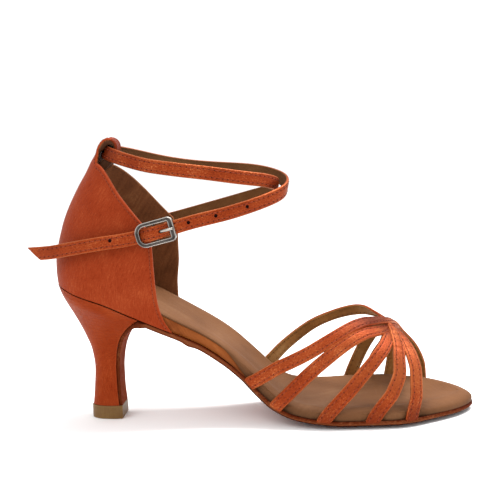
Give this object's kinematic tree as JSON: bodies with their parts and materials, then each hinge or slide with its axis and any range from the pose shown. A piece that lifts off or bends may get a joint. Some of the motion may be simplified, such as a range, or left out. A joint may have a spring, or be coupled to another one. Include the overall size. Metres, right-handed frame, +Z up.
{
  "type": "strappy dance sandal",
  "caption": "Open-toe dance sandal for the right foot: gathered forefoot straps, closed heel cup, flared heel and an ankle strap buckled on the outer side.",
  "frame": {"origin": "middle of the shoe's box, on the floor under it", "axes": "+X from the heel to the toe, +Y to the inner side of the foot, +Z up"},
  "size_m": [0.2272, 0.0822, 0.147],
  "materials": {
    "satin": "copper orange satin",
    "suede": "brushed suede",
    "board": "covered leather board",
    "sock": "matt sock leather",
    "rubber": "matt top piece",
    "steel": "bright plated",
    "tab": "satin covered leather"
  },
  "bodies": {
    "root": {"outsole": "suede", "midsole": "board", "insole": "sock", "heel": "satin", "heel_tip": "rubber", "quarter": "satin", "vamp_straps": "satin", "ankle_strap": "satin", "buckle_frame": "steel", "buckle_prong": "steel", "buckle_tab": "tab"}
  },
  "joints": []
}
